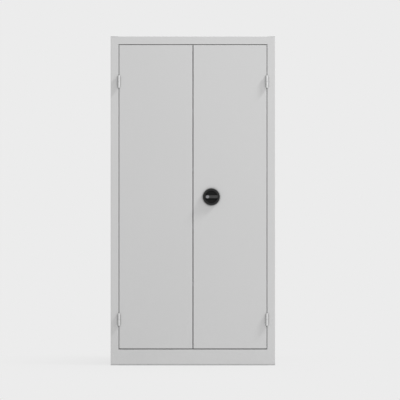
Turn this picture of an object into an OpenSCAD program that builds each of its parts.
// Tall sheet-steel tool cabinet with two hinged doors and a three-point rack bolt lock.
// Millimetres. X to the right as seen from the front, Y to the rear, Z up.
// The origin is on the floor, at the middle of the footprint with the grip included.

/* [Cabinet body] */
// Overall width across the side panels
cabinet_w = 1000; // [900:10:1200]
// Depth from the front face to the rear face
cabinet_d = 500; // [400:10:600]
// Overall height above the floor
cabinet_h = 2000; // [1800:10:2200]
// Thickness of the body sheet
body_sheet = 1.2; // [0.8:0.1:2]
// Outside radius of every sheet bend
bend_r = 2.4; // [2.1:0.1:4]
// Width of the stile beside each door
stile_w = 48.5; // [40:0.5:70]
// Depth of the folded frame round the doors
frame_depth = 30; // [28:1:40]
// Width of the lip behind each stile
stile_lip = 15; // [8:1:25]
// Width of the rear flange of each side panel
rear_flange = 20; // [12:1:40]
// Height of the rail above the doors
top_rail_h = 49; // [35:1:80]
// Height of the plinth below the doors
plinth_h = 96; // [70:1:140]
// Height of the stop lips behind the door edges
stop_lip_h = 16; // [14:1:24]
// Depth of the foot flange and the inner flange of each plinth
plinth_flange = 25; // [15:1:28]
// Height of the upturned edge behind the rail
rail_edge_h = 15; // [8:1:20]
// How far the floor's front skirt hangs behind the plinth flange
floor_skirt = 20; // [10:1:40]
// Thickness of the plates that close each stile
stile_plate_t = 3; // [2:0.5:5]
// Height of the lower edge of the back panel
back_foot = 30; // [10:5:60]
// Diameter of the wall fixing holes
wall_hole_d = 9; // [6:0.5:14]
// Distance between the wall fixing holes
wall_hole_span = 800; // [500:10:840]
// Distance of the wall fixing holes below the top of the cabinet
wall_hole_drop = 150; // [40:5:300]

/* [Doors] */
// Thickness of the door sheet
door_sheet = 1.2; // [0.8:0.1:2]
// Depth of the folded door pan
door_thick = 22; // [21:0.5:26]
// Width of the lip behind the door's edges
door_lip = 15; // [8:1:25]
// Gap between each stile and its door
side_gap = 3; // [2.4:0.1:5]
// Gap above the doors
top_gap = 3.5; // [2:0.1:5]
// Gap below the doors
bottom_gap = 5; // [2:0.1:6]
// Gap between the two doors
centre_gap = 4.5; // [3:0.1:6]
// Width of the crown of the door stiffener
stiffener_w = 60; // [40:1:90]
// Depth of the door stiffener
stiffener_depth = 18; // [10:0.5:19]
// Width of each stiffener lip
stiffener_lip = 15; // [8:1:20]

/* [Hinges] */
// Length of each hinge barrel
hinge_len = 76; // [60:1:100]
// Outside radius of the hinge barrel
hinge_r = 7; // [6:0.1:9]
// Radius of the hinge pin
hinge_pin_r = 4; // [3:0.1:4.4]
// Distance of the upper hinges below the top edge of the doors
upper_hinge_drop = 223; // [100:1:350]
// Distance of the lower hinges above the bottom edge of the doors
lower_hinge_rise = 177; // [100:1:350]
// How far each hinge leaf reaches into the gap
hinge_leaf_reach = 20; // [14:0.5:21]
// Clearance between the two leaves of a hinge, on each side of its axis
leaf_clear = 0.3; // [0.2:0.05:0.5]
// Clearance between the barrel and the cabinet front
barrel_clear = 0.3; // [0.2:0.05:1]
// Thickness of the washer between the knuckles
hinge_washer_t = 1.5; // [1:0.1:3]

/* [Shelves] */
// Steps between slots up to the lowest shelf
first_shelf_steps = 6; // [3:1:7]
// Steps between slots from one shelf to the next
shelf_steps = 7; // [5:1:7]
// Distance from one upright slot to the next
slot_pitch = 50; // [40:1:52]
// Height of the lowest slot above the cabinet floor
slot_start = 88; // [60:1:120]
// Height of each slot
slot_h = 18; // [17:0.5:22]
// Width of each slot
slot_w = 7; // [6.5:0.5:10]
// Thickness of the upright sheet
upright_sheet = 1.5; // [1.2:0.1:2]
// Width of the upright's crown
upright_w = 30; // [26:1:40]
// Depth of the upright's crown off the side panel
upright_depth = 14; // [13:0.5:20]
// Width of each upright lip
upright_lip = 12; // [8:1:18]
// Distance of the uprights' feet above the cabinet floor
upright_foot = 5; // [3:0.5:20]
// Distance of the front uprights behind the cabinet front
front_upright_y = 90; // [80:1:120]
// Distance of the rear uprights before the back panel
rear_upright_inset = 58; // [50:1:90]
// Thickness of the shelf sheet
shelf_sheet = 1; // [0.8:0.1:1.5]
// Height of the folded shelf edge
shelf_edge_h = 30; // [25:1:40]
// Width of the lip under each shelf edge
shelf_lip = 14; // [10:1:20]
// Distance of the shelf behind the cabinet front
shelf_front_y = 52; // [46:1:70]
// Gap between the shelf and the back panel
shelf_rear_gap = 6; // [3:0.5:20]
// Depth of the stiffener under each shelf
shelf_rib_depth = 20; // [10:0.5:23]
// Width of the crown of the shelf stiffener
shelf_rib_w = 60; // [30:1:100]
// Thickness of the clip that carries a shelf corner
clip_t = 2; // [1.5:0.1:2.5]
// Width of each shelf clip
clip_w = 22; // [14:1:24]
// Length of the ledge under the shelf
clip_ledge = 15; // [10:1:20]

/* [Lock and bolts] */
// Distance of the lock's axis from the middle of the cabinet
lock_x = 112; // [104:1:140]
// Height of the lock's axis
lock_z = 1024; // [900:2:1200]
// Tooth module of the drive pinion and racks
tooth_module = 1.5; // [1.4:0.05:1.6]
// Number of pinion teeth, a multiple of four so that all three racks mesh alike
pinion_teeth = 16; // [16:4:16]
// Play between a pinion tooth and a rack tooth, along the pitch line
tooth_play = 0.25; // [0.15:0.05:0.4]
// Depth of each rack behind its pitch line
rack_depth = 10; // [9:0.5:11]
// Thickness of each bolt layer inside the case
rack_t = 6; // [5:0.5:6]
// Radius of the bolt rods
rod_r = 4; // [3.5:0.1:4.5]
// Running clearance of the rods and the pinion in their bores
run_clear = 0.08; // [0.03:0.01:0.1]
// Sliding clearance of the bolts inside the case and the guides
slide_clear = 0.3; // [0.2:0.05:0.4]
// Thickness of the lock case sheet
case_sheet = 1.5; // [1:0.1:1.5]
// Half the height of the lock case
case_half_h = 60; // [58:1:70]
// Thickness of the steel keepers
keeper_t = 3; // [2:0.5:4]
// Height of the side bolt
side_bolt_h = 13; // [10:0.5:14]
// How much thinner the side bolt is outside the case, on its front
side_bolt_rebate = 2; // [1:0.5:3]
// Clearance round a rod in its keeper
keeper_clear = 2; // [1:0.1:3]
// Clearance round the side bolt in the left door
side_keeper_clear = 1.2; // [0.5:0.1:2]
// Distance of the outer rod guides from the door's edges
rod_guide_inset = 60; // [45:5:120]
// Distance of the inner rod guides from the lock's axis
rod_guide_offset = 300; // [200:10:400]

/* [Turning handle] */
// Radius of the fixed rosette
rosette_r = 51.5; // [51:0.5:54]
// Height of the rosette's rim off the door
rosette_h = 13; // [12:0.5:15]
// Thickness of the rosette's base
rosette_base = 1.5; // [1.2:0.1:2]
// Radius of the turning handle
handle_r = 43.6; // [43:0.1:44]
// Radial gap between the handle and the rosette's rim
handle_gap = 0.5; // [0.4:0.1:0.8]
// Radius of the flat floor of the finger dish
dish_r = 33; // [32:0.5:34]
// Height of the dish floor off the door
dish_floor = 6.5; // [6.3:0.1:7]
// Width of the grip bar
grip_w = 22; // [22:0.5:26]
// How far the grip bar stands off the door
grip_proud = 25; // [22:0.5:32]
// Rounding of the grip bar's front edges
grip_round = 4; // [2:0.5:5]
// Radius of the handle's hub in the rosette
hub_r = 15.9; // [14:0.1:16.5]
// Width of the square spindle
spindle_w = 8; // [6:0.5:9]

/* [Key cylinder] */
// Distance of the key cylinder from the handle's axis
cylinder_offset = 23; // [23:0.5:24]
// Radius of the cylinder's barrel
cylinder_r = 8.4; // [8:0.1:8.5]
// Radius of the cylinder's front collar
collar_r = 9.6; // [9.2:0.1:10]
// Radius of the turning plug
plug_r = 6; // [5:0.1:6.4]
// Width of the locking cam
cam_w = 8; // [6:0.5:9]

/* [Hidden] */
$fn = 48;
cut = 1;                                    // how far a cutting shape overshoots
small_gap = 0.3;                            // between pieces that all but touch
layer_gap = 0.5;                            // between moving layers
screw_clear = 0.2;                          // round a screw in its hole
half_body = body_sheet / 2;
half_w = cabinet_w / 2;
front_y = -(cabinet_d - grip_proud) / 2;    // the front face, with the grip counted in the footprint

// Door opening and doors
stile_edge_x = half_w - stile_w;
door_edge_x = stile_edge_x - side_gap;
meet_x = centre_gap / 2;
door_w = door_edge_x - meet_x;
door_mid_x = (door_edge_x + meet_x) / 2;
rail_z = cabinet_h - top_rail_h;
door_top = rail_z - top_gap;
door_bottom = plinth_h + bottom_gap;
door_h = door_top - door_bottom;
door_mid_z = (door_top + door_bottom) / 2;
stop_y = frame_depth - body_sheet;          // front face of the stop lips
floor_z = plinth_h + stop_lip_h;            // upper face of the cabinet floor
wall_x = half_w - body_sheet;               // inner face of the side panel
back_y = cabinet_d - 2 * body_sheet;        // front face of the back panel
roof_z = cabinet_h - body_sheet;            // underside of the top panel
wall_hole_z = cabinet_h - wall_hole_drop;

// Hinges
hinge_x = stile_edge_x - side_gap / 2;
hinge_y = -(hinge_r + barrel_clear);
upper_hinge_z = door_top - upper_hinge_drop;
lower_hinge_z = door_bottom + lower_hinge_rise;
half_knuckle = (hinge_len - hinge_washer_t) / 2;
leaf_t = side_gap / 2 - leaf_clear;
pin_end = 4;                                // solid end of each knuckle
knuckle_round = 2;

// Shelves
shelf_count = 4;
crown_x = wall_x - upright_depth;           // inner face of the uprights
rear_upright_y = back_y - rear_upright_inset;
slot_margin = 60;                           // plain upright above the highest slot
slot_count = floor((roof_z - floor_z - slot_start - slot_h - slot_margin) / slot_pitch) + 1;
shelf_side_clear = 0.6;
shelf_half_w = crown_x - clip_t - shelf_side_clear;
shelf_rear_y = back_y - shelf_rear_gap;
shelf_depth = shelf_rear_y - shelf_front_y;
tongue_h = 8;
tongue_w = 5;
tongue_drop = 6;
clip_tongue_z = 22;                         // tongue above the clip's foot
clip_h = clip_tongue_z + tongue_h + tongue_drop;

// Rack and pinion
pressure_angle = 20;
pitch_r = tooth_module * pinion_teeth / 2;
tooth_pitch = PI * tooth_module;
rack_tooth_half = (tooth_pitch - tooth_play) / 4;
addendum = 0.85 * tooth_module;
dedendum = 1.1 * tooth_module;
bolt_travel = pitch_r * PI / 2;             // a quarter turn of the handle
rack_back = pitch_r + rack_depth;
rod_offset = rack_back - rod_r;             // rods beside the lock's axis
upper_rod_x = lock_x - rod_offset;
lower_rod_x = lock_x + rod_offset;
case_inner = door_sheet + case_sheet;       // inner face of the case's front wall
side_bolt_y = case_inner + slide_clear;
rack_y = side_bolt_y + rack_t + layer_gap;
rack_end_y = rack_y + rack_t;
rod_y = rack_y + rack_t / 2;
cover_y = rod_y + rod_r + layer_gap;
cover_end_y = cover_y + case_sheet;
case_inner_w = rack_back + slide_clear;     // half the room inside the case
case_half_w = case_inner_w + case_sheet;
side_bolt_top = -(pitch_r + dedendum);      // root line of the side bolt's teeth
side_bolt_tip = addendum - pitch_r;         // tips of the side bolt's teeth
side_bolt_low = side_bolt_top - side_bolt_h;
rack_reach = bolt_travel + 1.5 * tooth_pitch;
rack_lead = 30;                             // rack beyond the pinion, on the rod's side
stud_r = rod_r / 2;
stud_len = 12;
rod_rest = door_sheet - 0.4;                // rod tips stop inside the door's flange
pinion_hub_r = 8;
hub_end_y = door_sheet - 0.2;               // where the handle's hub meets the pinion's hub
hub_room = 1;                               // round the handle's hub in the door
spindle_end_y = cover_end_y + small_gap;    // where the washer bears on the pinion's hub
spindle_screw_r = 2.5;
spindle_screw_len = 11;                     // in the spindle
post_r = 4;
post_z = 34;
rosette_screw_x = 16;
rosette_screw_z = 45;
screw_r = 2;
washer_r = 11;
washer_t = 1.5;
keeper_half_x = 20;

// Handle
rim_inner_r = handle_r + handle_gap;
handle_back = rosette_base + small_gap;
handle_rim_h = rosette_h - 1;
grip_inset = 1.6;                           // the grip's ends stop short of the handle's edge
grip_half_len = handle_r - grip_inset;
spindle_depth = 14;                         // how far the spindle reaches into the handle
cam_z = handle_back + layer_gap;
cam_t = 1.8;
cam_room = cam_z + cam_t + layer_gap;           // front of the cam's pocket
cam_len = rim_inner_r + 3 - cylinder_offset;
barrel_back = cam_room + small_gap;
cylinder_face = grip_proud - 0.4;
collar_t = 1.2;

// ---------- placing ----------

// Puts a piece drawn with the cabinet front at y = 0 into the part's own frame.
module in_place() {
    translate([0, front_y, 0])
        children();
}

// Puts a piece on the lock's axis: x to the right, y up, z out of the door.
module on_lock() {
    translate([lock_x, 0, lock_z])
        rotate([90, 0, 0])
            children();
}

// Repeats a piece at the four hinges: side -1 is the left, 1 the right.
module at_hinges(sides) {
    for (side = sides)
        for (z = [lower_hinge_z, upper_hinge_z])
            translate([side * hinge_x, hinge_y, z])
                on_side(side)
                    children();
}

// Draws a right-hand piece as it is, and mirrors it for the left.
module on_side(side) {
    mirror([side < 0 ? 1 : 0, 0, 0])
        children();
}

// ---------- folded sheet ----------

// One straight run of a folded sheet, seen end on.
module sheet_run(start, end, sheet) {
    across = [sign(abs(end[1] - start[1])), sign(abs(end[0] - start[0]))];
    low = [min(start[0], end[0]), min(start[1], end[1])];
    high = [max(start[0], end[0]), max(start[1], end[1])];
    translate(low - across * sheet / 2)
        square(high - low + across * sheet);
}

// One quarter bend between two runs.
module sheet_bend(corner, dir_in, dir_out, sheet) {
    side = dir_in - dir_out;
    translate(corner - (bend_r - sheet / 2) * side)
        intersection() {
            difference() {
                circle(r = bend_r);
                circle(r = bend_r - sheet);
            }
            translate([min(side[0], 0), min(side[1], 0)] * bend_r)
                square(bend_r);
        }
}

// A sheet folded along its middle line, square to the axes.
module folded_section(points, sheet) {
    last = len(points) - 1;
    mid_r = bend_r - sheet / 2;
    ways = [for (i = [0 : last - 1]) (points[i + 1] - points[i]) / norm(points[i + 1] - points[i])];
    for (i = [0 : last - 1])
        sheet_run(points[i] + (i > 0 ? mid_r : 0) * ways[i],
            points[i + 1] - (i < last - 1 ? mid_r : 0) * ways[i], sheet);
    for (i = [1 : last - 1])
        sheet_bend(points[i], ways[i - 1], ways[i], sheet);
}

// A hat section: lips on the base line, crown at the given height.
module hat_section(crown, height, lip, sheet) {
    h = sheet / 2;
    a = crown / 2 - h;
    folded_section([[-a - lip, h], [-a, h], [-a, height - h], [a, height - h], [a, h], [a + lip, h]],
        sheet);
}

// Turns a section drawn in depth and height into a bar along the width.
module along_x(from, to) {
    translate([from, 0, 0])
        rotate([90, 0, 90])
            linear_extrude(height = to - from)
                children();
}

// A rectangle whose two lower corners are round.
module round_front(width, depth, r) {
    translate([-width / 2, r])
        square([width, depth - r]);
    translate([-width / 2 + r, 0])
        square([width - 2 * r, depth]);
    for (side = [-1, 1])
        translate([side * (width / 2 - r), r])
            circle(r = r);
}

// A block, centred in width and height, whose four front edges are round. Its front is at y = 0.
module bent_block(width, depth, height, r) {
    intersection() {
        translate([0, 0, -height / 2])
            linear_extrude(height = height)
                round_front(width, depth, r);
        rotate([0, 90, 0])
            translate([0, 0, -width / 2])
                linear_extrude(height = width)
                    round_front(height, depth, r);
    }
}

// A pan folded from one sheet: a face at y = 0, four flanges and a lip behind each flange.
module folded_pan(width, height, depth, lip, sheet) {
    difference() {
        bent_block(width, depth, height, bend_r);
        translate([0, sheet, 0])
            bent_block(width - 2 * sheet, depth - 2 * sheet, height - 2 * sheet, bend_r - sheet);
        translate([-width / 2 + lip, depth / 2, -height / 2 + lip])
            cube([width - 2 * lip, depth, height - 2 * lip]);
    }
}

// ---------- cabinet body ----------

module side_panel() {
    rail_notch = stile_edge_x + bend_r;
    difference() {
        linear_extrude(height = roof_z)
            folded_section([
                [stile_edge_x + stile_lip, frame_depth - half_body],
                [stile_edge_x + half_body, frame_depth - half_body],
                [stile_edge_x + half_body, half_body],
                [half_w - half_body, half_body],
                [half_w - half_body, cabinet_d - half_body],
                [half_w - rear_flange, cabinet_d - half_body]], body_sheet);
        // room for the bends of the top panel
        for (y = [-cut, cabinet_d - bend_r])
            translate([0, y, cabinet_h - bend_r])
                cube([cabinet_w, bend_r + cut, bend_r]);
        // notches that the rail and the plinth fill, flush with the stile
        for (z = [[-cut, plinth_h + cut], [rail_z, top_rail_h]])
            translate([stile_edge_x - cut, -cut, z[0]])
                cube([bend_r + cut, bend_r + cut, z[1]]);
    }
}

module left_side_panel() {
    color("gainsboro")
        in_place()
            on_side(-1)
                side_panel();
}

module right_side_panel() {
    color("gainsboro")
        in_place()
            side_panel();
}

module back_panel() {
    color("gainsboro")
        in_place()
            difference() {
                translate([-half_w + bend_r, back_y, back_foot])
                    cube([cabinet_w - 2 * bend_r, body_sheet, cabinet_h - bend_r - back_foot]);
                for (side = [-1, 1])
                    translate([side * wall_hole_span / 2, back_y - cut, wall_hole_z])
                        rotate([-90, 0, 0])
                            cylinder(d = wall_hole_d, h = body_sheet + 2 * cut);
            }
}

// Takes a rail or plinth section back where the stiles run through.
module clear_of_stiles(low, high) {
    inner = stile_edge_x + bend_r;
    difference() {
        children();
        for (side = [-1, 1])
            on_side(side) {
                translate([inner, -cut, low])
                    cube([half_w, frame_depth + cut, high - low]);
                translate([stile_edge_x, bend_r, low])
                    cube([half_w, frame_depth, high - low]);
            }
    }
}

// The slot that a rod passes through when it is thrown.
module rod_slot(x, z, height) {
    half = rod_r + keeper_clear;
    translate([x - half, rod_y - half, z])
        cube([2 * half, 2 * half, height]);
}

module top_panel() {
    color("gainsboro")
        in_place()
            difference() {
                intersection() {
                    clear_of_stiles(0, roof_z)
                        along_x(-half_w, half_w)
                            folded_section([
                                [cabinet_d - half_body, roof_z - rear_flange],
                                [cabinet_d - half_body, cabinet_h - half_body],
                                [half_body, cabinet_h - half_body],
                                [half_body, rail_z + half_body],
                                [stop_y - half_body, rail_z + half_body],
                                [stop_y - half_body, rail_z + rail_edge_h]], body_sheet);
                    // rounded corners seen from above
                    translate([0, 0, rail_z - top_rail_h])
                        linear_extrude(height = 2 * top_rail_h + cut)
                            intersection() {
                                round_front(cabinet_w, cabinet_d, bend_r);
                                translate([0, cabinet_d])
                                    mirror([0, 1])
                                        round_front(cabinet_w, cabinet_d, bend_r);
                            }
                }
                // the rear flange stops at the side panels' flanges
                for (side = [-1, 1])
                    on_side(side)
                        translate([half_w - rear_flange, cabinet_d - bend_r, 0])
                            cube([half_w, bend_r + cut, cabinet_h - bend_r]);
                rod_slot(upper_rod_x, rail_z - cut, body_sheet + 2 * cut);
            }
}

// The strip behind the rail's upturned edge, down to where the doors stop.
module top_stop() {
    color("gainsboro")
        in_place()
            translate([-stile_edge_x, stop_y, rail_z - stop_lip_h])
                cube([2 * stile_edge_x, body_sheet, stop_lip_h + rail_edge_h]);
}

// The plates that close each stile, one at its foot and one level with the cabinet floor.
module stile_plates() {
    inner = stile_edge_x + bend_r + small_gap;
    color("gainsboro")
        in_place()
            for (side = [-1, 1], z = [0, floor_z - stile_plate_t])
                translate([side * (inner + wall_x) / 2, body_sheet, z])
                    linear_extrude(height = stile_plate_t)
                        round_front(wall_x - inner, stop_y - body_sheet, bend_r);
}

module front_plinth() {
    color("gainsboro")
        in_place()
            difference() {
                clear_of_stiles(-cut, plinth_h + cut)
                    along_x(-stile_edge_x - bend_r, stile_edge_x + bend_r)
                        folded_section([
                            [plinth_flange, half_body],
                            [half_body, half_body],
                            [half_body, plinth_h - half_body],
                            [stop_y, plinth_h - half_body]], body_sheet);
                rod_slot(lower_rod_x, plinth_h - body_sheet - cut, body_sheet + 2 * cut);
            }
}

module rear_plinth() {
    color("gainsboro")
        in_place()
            along_x(-wall_x, wall_x)
                folded_section([
                    [back_y - plinth_flange, half_body],
                    [back_y - half_body, half_body],
                    [back_y - half_body, floor_z - body_sheet - half_body],
                    [back_y - plinth_flange, floor_z - body_sheet - half_body]], body_sheet);
}

module floor_panel() {
    color("gainsboro")
        in_place()
            difference() {
                along_x(-wall_x, wall_x)
                    folded_section([
                        [frame_depth - half_body, plinth_h - floor_skirt],
                        [frame_depth - half_body, floor_z - half_body],
                        [back_y, floor_z - half_body]], body_sheet);
                for (side = [-1, 1])
                    on_side(side)
                        translate([stile_edge_x, 0, 0])
                            cube([stile_w, frame_depth, cabinet_h]);
            }
}

// ---------- shelves ----------

module upright(y) {
    top_clear = 10;
    difference() {
        translate([wall_x, y, floor_z + upright_foot])
            rotate([0, 0, 90])
                linear_extrude(height = roof_z - floor_z - upright_foot - top_clear)
                    hat_section(upright_w, upright_depth, upright_lip, upright_sheet);
        for (i = [0 : slot_count - 1])
            translate([crown_x - cut, y - slot_w / 2, slot_z(i)])
                cube([upright_sheet + 2 * cut, slot_w, slot_h]);
    }
}

function slot_z(i) = floor_z + slot_start + i * slot_pitch;

function shelf_slot(n) = first_shelf_steps + n * shelf_steps;

// Underside of a shelf, on the ledges of its clips.
function shelf_z(n) = slot_z(shelf_slot(n)) - clip_tongue_z + clip_t;

module front_left_upright() {
    color("gainsboro")
        in_place()
            on_side(-1)
                upright(front_upright_y);
}

module rear_left_upright() {
    color("gainsboro")
        in_place()
            on_side(-1)
                upright(rear_upright_y);
}

module front_right_upright() {
    color("gainsboro")
        in_place()
            upright(front_upright_y);
}

module rear_right_upright() {
    color("gainsboro")
        in_place()
            upright(rear_upright_y);
}

module shelf(n) {
    color("lightgrey")
        in_place()
            translate([0, (shelf_front_y + shelf_rear_y) / 2, shelf_z(n) + shelf_edge_h])
                rotate([-90, 0, 0])
                    folded_pan(2 * shelf_half_w, shelf_depth, shelf_edge_h, shelf_lip, shelf_sheet);
}

module shelf_1() {
    shelf(0);
}

module shelf_2() {
    shelf(1);
}

module shelf_3() {
    shelf(2);
}

module shelf_4() {
    shelf(3);
}

module shelf_stiffeners() {
    reach = shelf_half_w - shelf_sheet - 2;
    color("lightgrey")
        in_place()
            for (n = [0 : shelf_count - 1])
                translate([0, (shelf_front_y + shelf_rear_y) / 2, shelf_z(n) + shelf_edge_h - shelf_sheet])
                    along_x(-reach, reach)
                        mirror([0, 1])
                            hat_section(shelf_rib_w, shelf_rib_depth, stiffener_lip, shelf_sheet);
}

// A clip on the upright's crown, which is at x = 0 with the side panel towards +x.
module clip() {
    hook_x = upright_sheet + small_gap;
    translate([-clip_t, -clip_w / 2, 0])
        cube([clip_t, clip_w, clip_h]);
    translate([-clip_ledge, -clip_w / 2, 0])
        cube([clip_ledge, clip_w, clip_t]);
    translate([-clip_t, -tongue_w / 2, clip_tongue_z])
        cube([clip_t + hook_x + clip_t, tongue_w, tongue_h]);
    translate([hook_x, -tongue_w / 2, clip_tongue_z - tongue_drop])
        cube([clip_t, tongue_w, tongue_h + tongue_drop]);
}

module shelf_clips() {
    color("silver")
        in_place()
            for (side = [-1, 1])
                for (y = [front_upright_y, rear_upright_y])
                    for (n = [0 : shelf_count - 1])
                        on_side(side)
                            translate([crown_x, y, slot_z(shelf_slot(n)) - clip_tongue_z])
                                clip();
}

// ---------- frame fittings ----------

module keeper_plate(x, z) {
    difference() {
        translate([x - keeper_half_x, body_sheet + 3, z])
            cube([2 * keeper_half_x, stop_y - body_sheet - 6, keeper_t]);
        rod_slot(x, z - cut, keeper_t + 2 * cut);
    }
}

module top_keeper() {
    color("silver")
        in_place()
            keeper_plate(upper_rod_x, rail_z + body_sheet);
}

module bottom_keeper() {
    color("silver")
        in_place()
            keeper_plate(lower_rod_x, plinth_h - body_sheet - keeper_t);
}

// Rubber buffers on the stop lips, behind the meeting edges of the doors.
module door_buffers() {
    buffer_r = 5;
    dome = 1.5;
    length = stop_y - door_thick - small_gap;
    color("dimgray")
        in_place()
            for (x = [-1, 1] * (meet_x + 3 + buffer_r))
                for (z = [door_bottom + door_lip / 2, door_top - door_lip / 2])
                    translate([x, stop_y, z])
                        rotate([90, 0, 0])
                            rotate_extrude() {
                                square([buffer_r, length - dome]);
                                square([buffer_r - dome, length]);
                                intersection() {
                                    translate([buffer_r - dome, length - dome])
                                        circle(r = dome);
                                    square([buffer_r, length]);
                                }
                            }
}

// Magnet on the upper stop lip, facing the lip of the left door.
module magnet_catch() {
    catch_w = 40;
    catch_h = 12;
    pole_w = 4;
    from_middle = 90;
    front = door_thick + small_gap;
    color("dimgray")
        in_place()
            translate([-meet_x - from_middle, 0, door_top - door_lip / 2 - catch_h / 2]) {
                translate([0, front + 1.5, 0])
                    cube([catch_w, stop_y - front - 1.5, catch_h]);
                for (x = [pole_w, catch_w - 2 * pole_w])
                    translate([x, front, 2])
                        cube([pole_w, 1.5, catch_h - 4]);
            }
}

// ---------- hinges ----------

// Half of a barrel with a rounded end, standing on z = 0.
module knuckle(length) {
    rotate_extrude() {
        square([hinge_r, length - knuckle_round]);
        square([hinge_r - knuckle_round, length]);
        translate([hinge_r - knuckle_round, length - knuckle_round])
            circle(r = knuckle_round);
    }
}

// Lower half on the frame: knuckle downwards, leaf against the stile's return.
module frame_half() {
    leaf_x = leaf_clear;
    difference() {
        union() {
            translate([0, 0, -hinge_washer_t / 2])
                mirror([0, 0, 1])
                    knuckle(half_knuckle);
            translate([leaf_x, -hinge_y + barrel_clear, -hinge_len / 2])
                cube([leaf_t, hinge_leaf_reach, hinge_len]);
            translate([leaf_x, 0, -hinge_len / 2 + knuckle_round])
                cube([leaf_t, -hinge_y + hinge_leaf_reach, half_knuckle - knuckle_round]);
        }
        translate([0, 0, -hinge_len / 2 + pin_end])
            cylinder(r = hinge_pin_r + run_clear, h = hinge_len);
    }
}

// Upper half on the door: knuckle upwards, leaf against the door's flange.
module door_half() {
    leaf_x = -leaf_clear - leaf_t;
    difference() {
        union() {
            translate([0, 0, hinge_washer_t / 2 + 0.1])
                knuckle(half_knuckle - 0.1);
            translate([leaf_x, -hinge_y + barrel_clear, -hinge_len / 2])
                cube([leaf_t, hinge_leaf_reach, hinge_len]);
            translate([leaf_x, 0, hinge_washer_t / 2 + 0.1])
                cube([leaf_t, -hinge_y + hinge_leaf_reach, half_knuckle - knuckle_round]);
        }
        translate([0, 0, -hinge_len])
            cylinder(r = hinge_pin_r + run_clear, h = 1.5 * hinge_len - pin_end);
    }
}

module hinge_frame_halves() {
    color("gainsboro")
        in_place()
            at_hinges([-1, 1])
                frame_half();
}

module hinge_pins() {
    color("silver")
        in_place()
            at_hinges([-1, 1])
                translate([0, 0, -hinge_len / 2 + pin_end])
                    cylinder(r = hinge_pin_r, h = hinge_len - 2 * pin_end - 1);
}

module hinge_washers() {
    color("goldenrod")
        in_place()
            at_hinges([-1, 1])
                translate([0, 0, -hinge_washer_t / 2])
                    difference() {
                        cylinder(r = hinge_r - 0.4, h = hinge_washer_t);
                        translate([0, 0, -cut])
                            cylinder(r = hinge_pin_r + run_clear, h = hinge_washer_t + 2 * cut);
                    }
}

module left_door_hinge_halves() {
    color("gainsboro")
        in_place()
            at_hinges([-1])
                door_half();
}

module right_door_hinge_halves() {
    color("gainsboro")
        in_place()
            at_hinges([1])
                door_half();
}

// ---------- doors ----------

module door_pan() {
    translate([door_mid_x, 0, door_mid_z])
        folded_pan(door_w, door_h, door_thick, door_lip, door_sheet);
}

module door_stiffener() {
    end_gap = door_lip + 5;
    translate([door_mid_x, door_sheet, door_bottom + end_gap])
        linear_extrude(height = door_h - 2 * end_gap)
            hat_section(stiffener_w, stiffener_depth, stiffener_lip, door_sheet);
}

// The slot in a door's meeting edge that the side bolt passes.
module side_bolt_slot(from, to, room) {
    front = max(bend_r, side_bolt_y - room);
    translate([from, front, lock_z + side_bolt_low - room])
        cube([to - from, side_bolt_y + rack_t + room - front,
            side_bolt_top - side_bolt_low + 2 * room]);
}

module left_door_panel() {
    color("gainsboro")
        in_place()
            difference() {
                on_side(-1)
                    door_pan();
                side_bolt_slot(-meet_x - door_sheet - cut, -meet_x + cut, side_keeper_clear);
            }
}

module left_door_stiffener() {
    color("gainsboro")
        in_place()
            on_side(-1)
                door_stiffener();
}

module side_bolt_keeper() {
    inner = meet_x + door_sheet;
    overlap = 12;
    low = side_bolt_low - overlap;
    color("silver")
        in_place()
            difference() {
                translate([-inner - keeper_t, bend_r, lock_z + low])
                    cube([keeper_t, door_thick - door_sheet - bend_r - small_gap,
                        side_bolt_top - side_bolt_low + 2 * overlap]);
                side_bolt_slot(-inner - keeper_t - cut, -inner + cut, side_keeper_clear);
            }
}

module right_door_panel() {
    color("gainsboro")
        in_place()
            difference() {
                door_pan();
                side_bolt_slot(meet_x - cut, meet_x + door_sheet + cut, slide_clear);
                translate([upper_rod_x, rod_y, door_top - door_sheet - cut])
                    cylinder(r = rod_r + slide_clear, h = door_sheet + 2 * cut);
                translate([lower_rod_x, rod_y, door_bottom - cut])
                    cylinder(r = rod_r + slide_clear, h = door_sheet + 2 * cut);
                on_lock()
                    translate([0, 0, -door_sheet - cut])
                        cylinder(r = hub_r + hub_room, h = door_sheet + 2 * cut);
                on_lock()
                    at_rosette_screws()
                        translate([0, 0, -door_sheet - cut])
                            cylinder(r = screw_r + screw_clear, h = door_sheet + 2 * cut);
            }
}

module right_door_stiffener() {
    color("gainsboro")
        in_place()
            door_stiffener();
}

// ---------- lock ----------

module at_rosette_screws() {
    for (x = [-1, 1] * rosette_screw_x)
        for (y = [-1, 1] * rosette_screw_z)
            translate([x, y, 0])
                children();
}

// The space that the key cylinder's cam sweeps from upright to level, with room round it.
module cam_sweep(height) {
    side_room = cam_w / 2 + 1;
    reach = cam_len + 1;
    intersection() {
        translate([-cylinder_offset, 0, 0])
            cylinder(r = reach, h = height);
        translate([-cylinder_offset - reach, -side_room, 0])
            cube([reach + side_room, side_room + reach, height]);
    }
}

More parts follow.
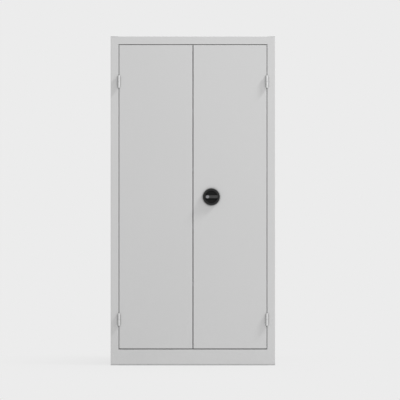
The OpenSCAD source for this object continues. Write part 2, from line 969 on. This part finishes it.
module lock_rosette() {
    rim_round = 3;
    color("#2a2a2c")
        in_place()
            on_lock()
                difference() {
                    rotate_extrude($fn = 96) {
                        translate([hub_r + run_clear, 0])
                            square([rosette_r - hub_r - run_clear, rosette_base]);
                        translate([rim_inner_r, 0])
                            square([rosette_r - rim_inner_r, rosette_h - rim_round]);
                        translate([rim_inner_r, 0])
                            square([rosette_r - rim_inner_r - rim_round, rosette_h]);
                        translate([rosette_r - rim_round, rosette_h - rim_round])
                            circle(r = rim_round);
                    }
                    // notches that take the key cylinder's cam, with the handle level or upright
                    for (turn = [0, -90])
                        rotate([0, 0, turn])
                            translate([0, 0, rosette_base])
                                cam_sweep(cam_room - rosette_base);
                    at_rosette_screws()
                        translate([0, 0, -cut])
                            cylinder(r = screw_r, h = rosette_h - 3 + cut);
                }
}

// A rib that carries a rack off the case's front wall.
module rack_rib(side) {
    rib_w = 4;
    low = side_bolt_tip + 2 * slide_clear;
    translate([side > 0 ? case_inner_w - rib_w : -case_inner_w, case_inner, low])
        cube([rib_w, rack_y - small_gap - case_inner, rack_reach - low]);
}

module lock_case() {
    h = case_half_h;
    color("silver")
        in_place()
            translate([lock_x, 0, lock_z])
                difference() {
                    union() {
                        difference() {
                            translate([-case_half_w, door_sheet, -h])
                                cube([2 * case_half_w, cover_y - door_sheet, 2 * h]);
                            translate([-case_inner_w, case_inner, -h + case_sheet])
                                cube([2 * case_inner_w, cover_y, 2 * (h - case_sheet)]);
                        }
                        for (side = [-1, 1])
                            rack_rib(side);
                        // ledge under the side bolt
                        translate([-case_inner_w, case_inner, side_bolt_low - slide_clear - 2.5])
                            cube([2 * case_inner_w, rack_t, 2.5]);
                        for (z = [-1, 1] * post_z)
                            translate([0, case_inner - case_sheet / 2, z])
                                rotate([-90, 0, 0])
                                    cylinder(r = post_r, h = cover_y - case_inner + case_sheet / 2);
                    }
                    // bore for the pinion's front hub
                    rotate([-90, 0, 0])
                        cylinder(r = pinion_hub_r + run_clear, h = case_inner + cut);
                    // way out for the side bolt
                    translate([-case_half_w - cut, side_bolt_y - slide_clear, side_bolt_low - slide_clear])
                        cube([case_sheet + 2 * cut, rack_t + 2 * slide_clear,
                            side_bolt_tip - side_bolt_low + 2 * slide_clear]);
                    // rod bores above and below
                    translate([-rod_offset, rod_y, h - case_sheet - cut])
                        cylinder(r = rod_r + run_clear, h = case_sheet + 2 * cut);
                    translate([rod_offset, rod_y, -h - cut])
                        cylinder(r = rod_r + run_clear, h = case_sheet + 2 * cut);
                    // screw holes
                    for (x = [-1, 1] * rosette_screw_x)
                        for (z = [-1, 1] * rosette_screw_z)
                            translate([x, 0, z])
                                rotate([-90, 0, 0])
                                    cylinder(r = screw_r + screw_clear, h = case_inner + cut);
                    for (z = [-1, 1] * post_z)
                        translate([0, case_inner + 3, z])
                            rotate([-90, 0, 0])
                                cylinder(r = screw_r, h = cover_y);
                }
}

module lock_cover() {
    color("silver")
        in_place()
            translate([lock_x, cover_y, lock_z])
                difference() {
                    translate([-case_half_w, 0, -case_half_h])
                        cube([2 * case_half_w, case_sheet, 2 * case_half_h]);
                    translate([0, -cut, 0])
                        rotate([-90, 0, 0])
                            cylinder(r = pinion_hub_r + run_clear, h = case_sheet + 2 * cut);
                    for (z = [-1, 1] * post_z)
                        translate([0, -cut, z])
                            rotate([-90, 0, 0])
                                cylinder(r = screw_r + screw_clear, h = case_sheet + 2 * cut);
                }
}

// A pan-head screw pointing to +z, with its head below z = 0.
module screw(length) {
    cylinder(r = screw_r, h = length);
    translate([0, 0, -2.2])
        cylinder(r = 3.5, h = 2.2);
}

module lock_screws() {
    color("silver")
        in_place()
            on_lock() {
                at_rosette_screws()
                    translate([0, 0, -case_inner])
                        screw(case_inner + rosette_h - 4);
                for (y = [-1, 1] * post_z)
                    translate([0, y, -cover_end_y])
                        screw(cover_end_y - case_inner - 3.5);
            }
}

module rod_guide() {
    foot_w = 40;
    foot_h = 24;
    lug_w = 22;
    lug_t = 4;
    lug_wall = 2.5;
    difference() {
        union() {
            translate([-foot_w / 2, door_sheet, -foot_h / 2])
                cube([foot_w, case_sheet, foot_h]);
            translate([-lug_w / 2, door_sheet, -lug_t / 2])
                cube([lug_w, rod_y + rod_r + lug_wall - door_sheet, lug_t]);
        }
        translate([0, rod_y, -cut - lug_t / 2])
            cylinder(r = rod_r + run_clear, h = lug_t + 2 * cut);
    }
}

module rod_guides() {
    color("silver")
        in_place() {
            for (z = [lock_z + rod_guide_offset, door_top - rod_guide_inset])
                translate([upper_rod_x, 0, z])
                    rod_guide();
            for (z = [lock_z - rod_guide_offset, door_bottom + rod_guide_inset])
                translate([lower_rod_x, 0, z])
                    rod_guide();
        }
}

// ---------- handle ----------

// The grip bar's section, half of it revolved at each end.
module grip_section() {
    half = grip_w / 2;
    square([half, grip_proud - grip_round]);
    square([half - grip_round, grip_proud]);
    translate([half - grip_round, grip_proud - grip_round])
        circle(r = grip_round);
}

module grip_bar() {
    run = grip_half_len - grip_w / 2;
    for (side = [-1, 1])
        translate([side * run, 0, 0])
            rotate_extrude()
                grip_section();
    translate([-run, 0, 0])
        rotate([90, 0, 90])
            linear_extrude(height = 2 * run) {
                grip_section();
                mirror([1, 0])
                    grip_section();
            }
}

module turning_handle() {
    dish_round = handle_rim_h - dish_floor;
    rim_round = 1.2;
    color("#1c1c1e")
        in_place()
            on_lock()
                difference() {
                    union() {
                        difference() {
                            rotate_extrude($fn = 96) {
                                square([handle_r, handle_rim_h - rim_round]);
                                square([handle_r - rim_round, handle_rim_h]);
                                translate([handle_r - rim_round, handle_rim_h - rim_round])
                                    circle(r = rim_round);
                            }
                            // the finger dish
                            rotate_extrude($fn = 96) {
                                translate([0, dish_floor])
                                    square([dish_r, handle_rim_h]);
                                translate([dish_r, handle_rim_h])
                                    intersection() {
                                        circle(r = dish_round);
                                        translate([0, -dish_round])
                                            square([dish_round, dish_round + cut]);
                                    }
                            }
                        }
                        grip_bar();
                        // hub through the rosette and the door
                        translate([0, 0, -hub_end_y])
                            cylinder(r = hub_r, h = handle_back + hub_end_y + cut);
                    }
                    // everything behind the handle's back face, outside the hub
                    difference() {
                        translate([0, 0, -door_sheet - cut])
                            cylinder(r = handle_r + cut, h = handle_back + door_sheet + cut);
                        translate([0, 0, -door_sheet - 2 * cut])
                            cylinder(r = hub_r, h = handle_back + door_sheet + 4 * cut);
                    }
                    // square hole for the spindle
                    translate([-spindle_w / 2, -spindle_w / 2, -door_sheet])
                        cube([spindle_w, spindle_w, door_sheet + spindle_depth]);
                    // stepped bore for the key cylinder
                    translate([-cylinder_offset, 0, 0]) {
                        cylinder(r = cylinder_r, h = grip_proud + cut);
                        translate([0, 0, cylinder_face - collar_t])
                            cylinder(r = collar_r, h = grip_proud);
                    }
                    // pocket in which the cam turns, open through the rim
                    cam_sweep(cam_room);
                }
}

module lock_spindle() {
    color("silver")
        in_place()
            on_lock()
                difference() {
                    translate([-spindle_w / 2, -spindle_w / 2, -spindle_end_y])
                        cube([spindle_w, spindle_w, spindle_end_y + spindle_depth]);
                    translate([0, 0, -spindle_end_y - cut])
                        cylinder(r = spindle_screw_r, h = spindle_screw_len + 2 * cut);
                }
}

// One side of an involute tooth, as points from the root to the tip.
base_r = pitch_r * cos(pressure_angle);
tip_r = pitch_r + addendum;
root_r = pitch_r - dedendum;
function involute(r) = tan(acos(base_r / r)) * 180 / PI - acos(base_r / r);
half_tooth = (90 - tooth_play / (2 * tooth_module) * 180 / PI) / pinion_teeth;
function flank_angle(r) = half_tooth + involute(pitch_r) - involute(max(r, base_r));
flank_steps = 5;
flank = [for (i = [0 : flank_steps]) base_r + 0.02 + (tip_r - base_r - 0.02) * i / flank_steps];
function polar(r, a) = [r * cos(a), r * sin(a)];
function tooth_points(a) = concat(
    [polar(root_r, a - flank_angle(base_r))],
    [for (r = flank) polar(r, a - flank_angle(r))],
    [for (i = [flank_steps : -1 : 0]) polar(flank[i], a + flank_angle(flank[i]))],
    [polar(root_r, a + flank_angle(base_r))]);

module drive_pinion() {
    color("goldenrod")
        in_place()
            on_lock()
                difference() {
                    union() {
                        translate([0, 0, -rack_end_y - small_gap])
                            linear_extrude(height = rack_end_y + small_gap - side_bolt_y)
                                polygon([for (i = [0 : pinion_teeth - 1])
                                    each tooth_points(i * 360 / pinion_teeth)]);
                        translate([0, 0, -spindle_end_y])
                            cylinder(r = pinion_hub_r, h = spindle_end_y - hub_end_y);
                    }
                    translate([-spindle_w / 2, -spindle_w / 2, -spindle_end_y - cut])
                        cube([spindle_w, spindle_w, spindle_end_y + 2 * cut]);
                }
}

module spindle_washer() {
    color("silver")
        in_place()
            on_lock()
                translate([0, 0, -spindle_end_y - washer_t])
                    difference() {
                        cylinder(r = washer_r, h = washer_t);
                        translate([0, 0, -cut])
                            cylinder(r = spindle_screw_r + screw_clear, h = washer_t + 2 * cut);
                    }
}

module spindle_screw() {
    head_h = 3.2;
    color("silver")
        in_place()
            on_lock()
                translate([0, 0, -spindle_end_y - washer_t]) {
                    cylinder(r = spindle_screw_r, h = washer_t + spindle_screw_len);
                    translate([0, 0, -head_h])
                        difference() {
                            cylinder(r = 5, h = head_h);
                            translate([0, 0, -cut])
                                cylinder(r = 2.5, h = 2 + cut, $fn = 6);
                        }
                }
}

module on_cylinder() {
    on_lock()
        translate([-cylinder_offset, 0, 0])
            children();
}

module cylinder_barrel() {
    color("silver")
        in_place()
            on_cylinder()
                difference() {
                    union() {
                        translate([0, 0, barrel_back])
                            cylinder(r = cylinder_r, h = cylinder_face - barrel_back);
                        translate([0, 0, cylinder_face - collar_t])
                            cylinder(r = collar_r, h = collar_t);
                    }
                    translate([0, 0, barrel_back - cut])
                        cylinder(r = plug_r + run_clear, h = cylinder_face);
                }
}

module cylinder_plug() {
    keyway_w = 1.8;
    keyway_h = 7.5;
    color("gainsboro")
        in_place()
            on_cylinder()
                difference() {
                    translate([0, 0, cam_z + cam_t])
                        cylinder(r = plug_r, h = cylinder_face - cam_z - cam_t);
                    translate([-keyway_w / 2, -keyway_h / 2, cylinder_face - 9])
                        cube([keyway_w, keyway_h, 10]);
                }
}

// The cam points up at rest and into the rosette's notch when the key is turned.
module locking_cam() {
    color("silver")
        in_place()
            on_cylinder()
                translate([0, 0, cam_z]) {
                    cylinder(r = plug_r, h = cam_t);
                    translate([-cam_w / 2, 0, 0])
                        cube([cam_w, cam_len, cam_t]);
                }
}

// ---------- bolts ----------

// Outline of rack teeth seen side on: the pitch line is y = 0, a tooth gap at x = 0.
function rack_teeth(low, high) = [
    for (i = [ceil(low / tooth_pitch) : floor(high / tooth_pitch) - 1])
        for (p = [[-1, -dedendum], [-1, addendum], [1, addendum], [1, -dedendum]])
            [(i + 0.5) * tooth_pitch + p[0] * (rack_tooth_half - tan(pressure_angle) * p[1]), p[1]]];

// A rack standing beside the pinion: teeth to +x, body to -x, the rod's end at the top.
module standing_rack() {
    difference() {
        translate([-pitch_r, rack_y + rack_t, 0])
            rotate([90, 0, 0])
                linear_extrude(height = rack_t)
                    rotate([0, 0, -90])
                        polygon(concat([[-rack_lead, -rack_depth], [-rack_lead, -dedendum]],
                            rack_teeth(-rack_lead, rack_reach),
                            [[rack_reach, -dedendum], [rack_reach, -rack_depth]]));
        translate([-rod_offset, rod_y, rack_lead - stud_len])
            cylinder(r = stud_r, h = stud_len + cut);
    }
}

module standing_rod(length) {
    tip = 1.2;
    translate([-rod_offset, rod_y, rack_lead]) {
        cylinder(r = rod_r, h = length - tip);
        translate([0, 0, length - tip])
            cylinder(r1 = rod_r, r2 = rod_r - tip, h = tip);
        translate([0, 0, -stud_len])
            cylinder(r = stud_r, h = stud_len + 1);
    }
}

// The lower rack and rod are the upper ones turned half round about the handle's axis.
module at_lower() {
    in_place()
        translate([lock_x, 0, lock_z])
            rotate([0, 180, 0])
                children();
}

module at_upper() {
    in_place()
        translate([lock_x, 0, lock_z])
            children();
}

module upper_rack() {
    color("silver")
        at_upper()
            standing_rack();
}

module upper_rod() {
    color("silver")
        at_upper()
            standing_rod(door_top - rod_rest - lock_z - rack_lead);
}

module lower_rack() {
    color("silver")
        at_lower()
            standing_rack();
}

module lower_rod() {
    color("silver")
        at_lower()
            standing_rod(lock_z - door_bottom - rod_rest - rack_lead);
}

module side_bolt() {
    inset = 0.5;
    bolt_end = meet_x + inset - lock_x;
    tail = rack_reach - tooth_pitch;
    nose = 2;
    low = side_bolt_low + pitch_r;
    color("silver")
        in_place()
            translate([lock_x, side_bolt_y + rack_t, lock_z - pitch_r])
                difference() {
                    rotate([90, 0, 0])
                        linear_extrude(height = rack_t)
                            polygon(concat([
                                [tail, low],
                                [bolt_end + nose, low],
                                [bolt_end, low + nose],
                                [bolt_end, -dedendum - nose],
                                [bolt_end + nose, -dedendum]],
                                rack_teeth(-1.5 * tooth_pitch, tail),
                                [[tail, -dedendum]]));
                    // thinner outside the case, to pass well behind the left door's bend
                    translate([bolt_end - cut, -rack_t - cut, low - cut])
                        cube([-bolt_end - case_half_w + cut, side_bolt_rebate + cut, side_bolt_h + 2 * cut]);
                }
}

left_side_panel();
right_side_panel();
back_panel();
top_panel();
floor_panel();
top_stop();
stile_plates();
front_plinth();
rear_plinth();
front_left_upright();
rear_left_upright();
front_right_upright();
rear_right_upright();
shelf_1();
shelf_2();
shelf_3();
shelf_4();
shelf_stiffeners();
shelf_clips();
top_keeper();
bottom_keeper();
door_buffers();
magnet_catch();
hinge_frame_halves();
hinge_pins();
hinge_washers();
left_door_panel();
left_door_stiffener();
left_door_hinge_halves();
side_bolt_keeper();
right_door_panel();
right_door_stiffener();
right_door_hinge_halves();
lock_rosette();
lock_case();
lock_cover();
lock_screws();
rod_guides();
turning_handle();
lock_spindle();
drive_pinion();
spindle_washer();
spindle_screw();
cylinder_barrel();
cylinder_plug();
locking_cam();
upper_rack();
upper_rod();
lower_rack();
lower_rod();
side_bolt();
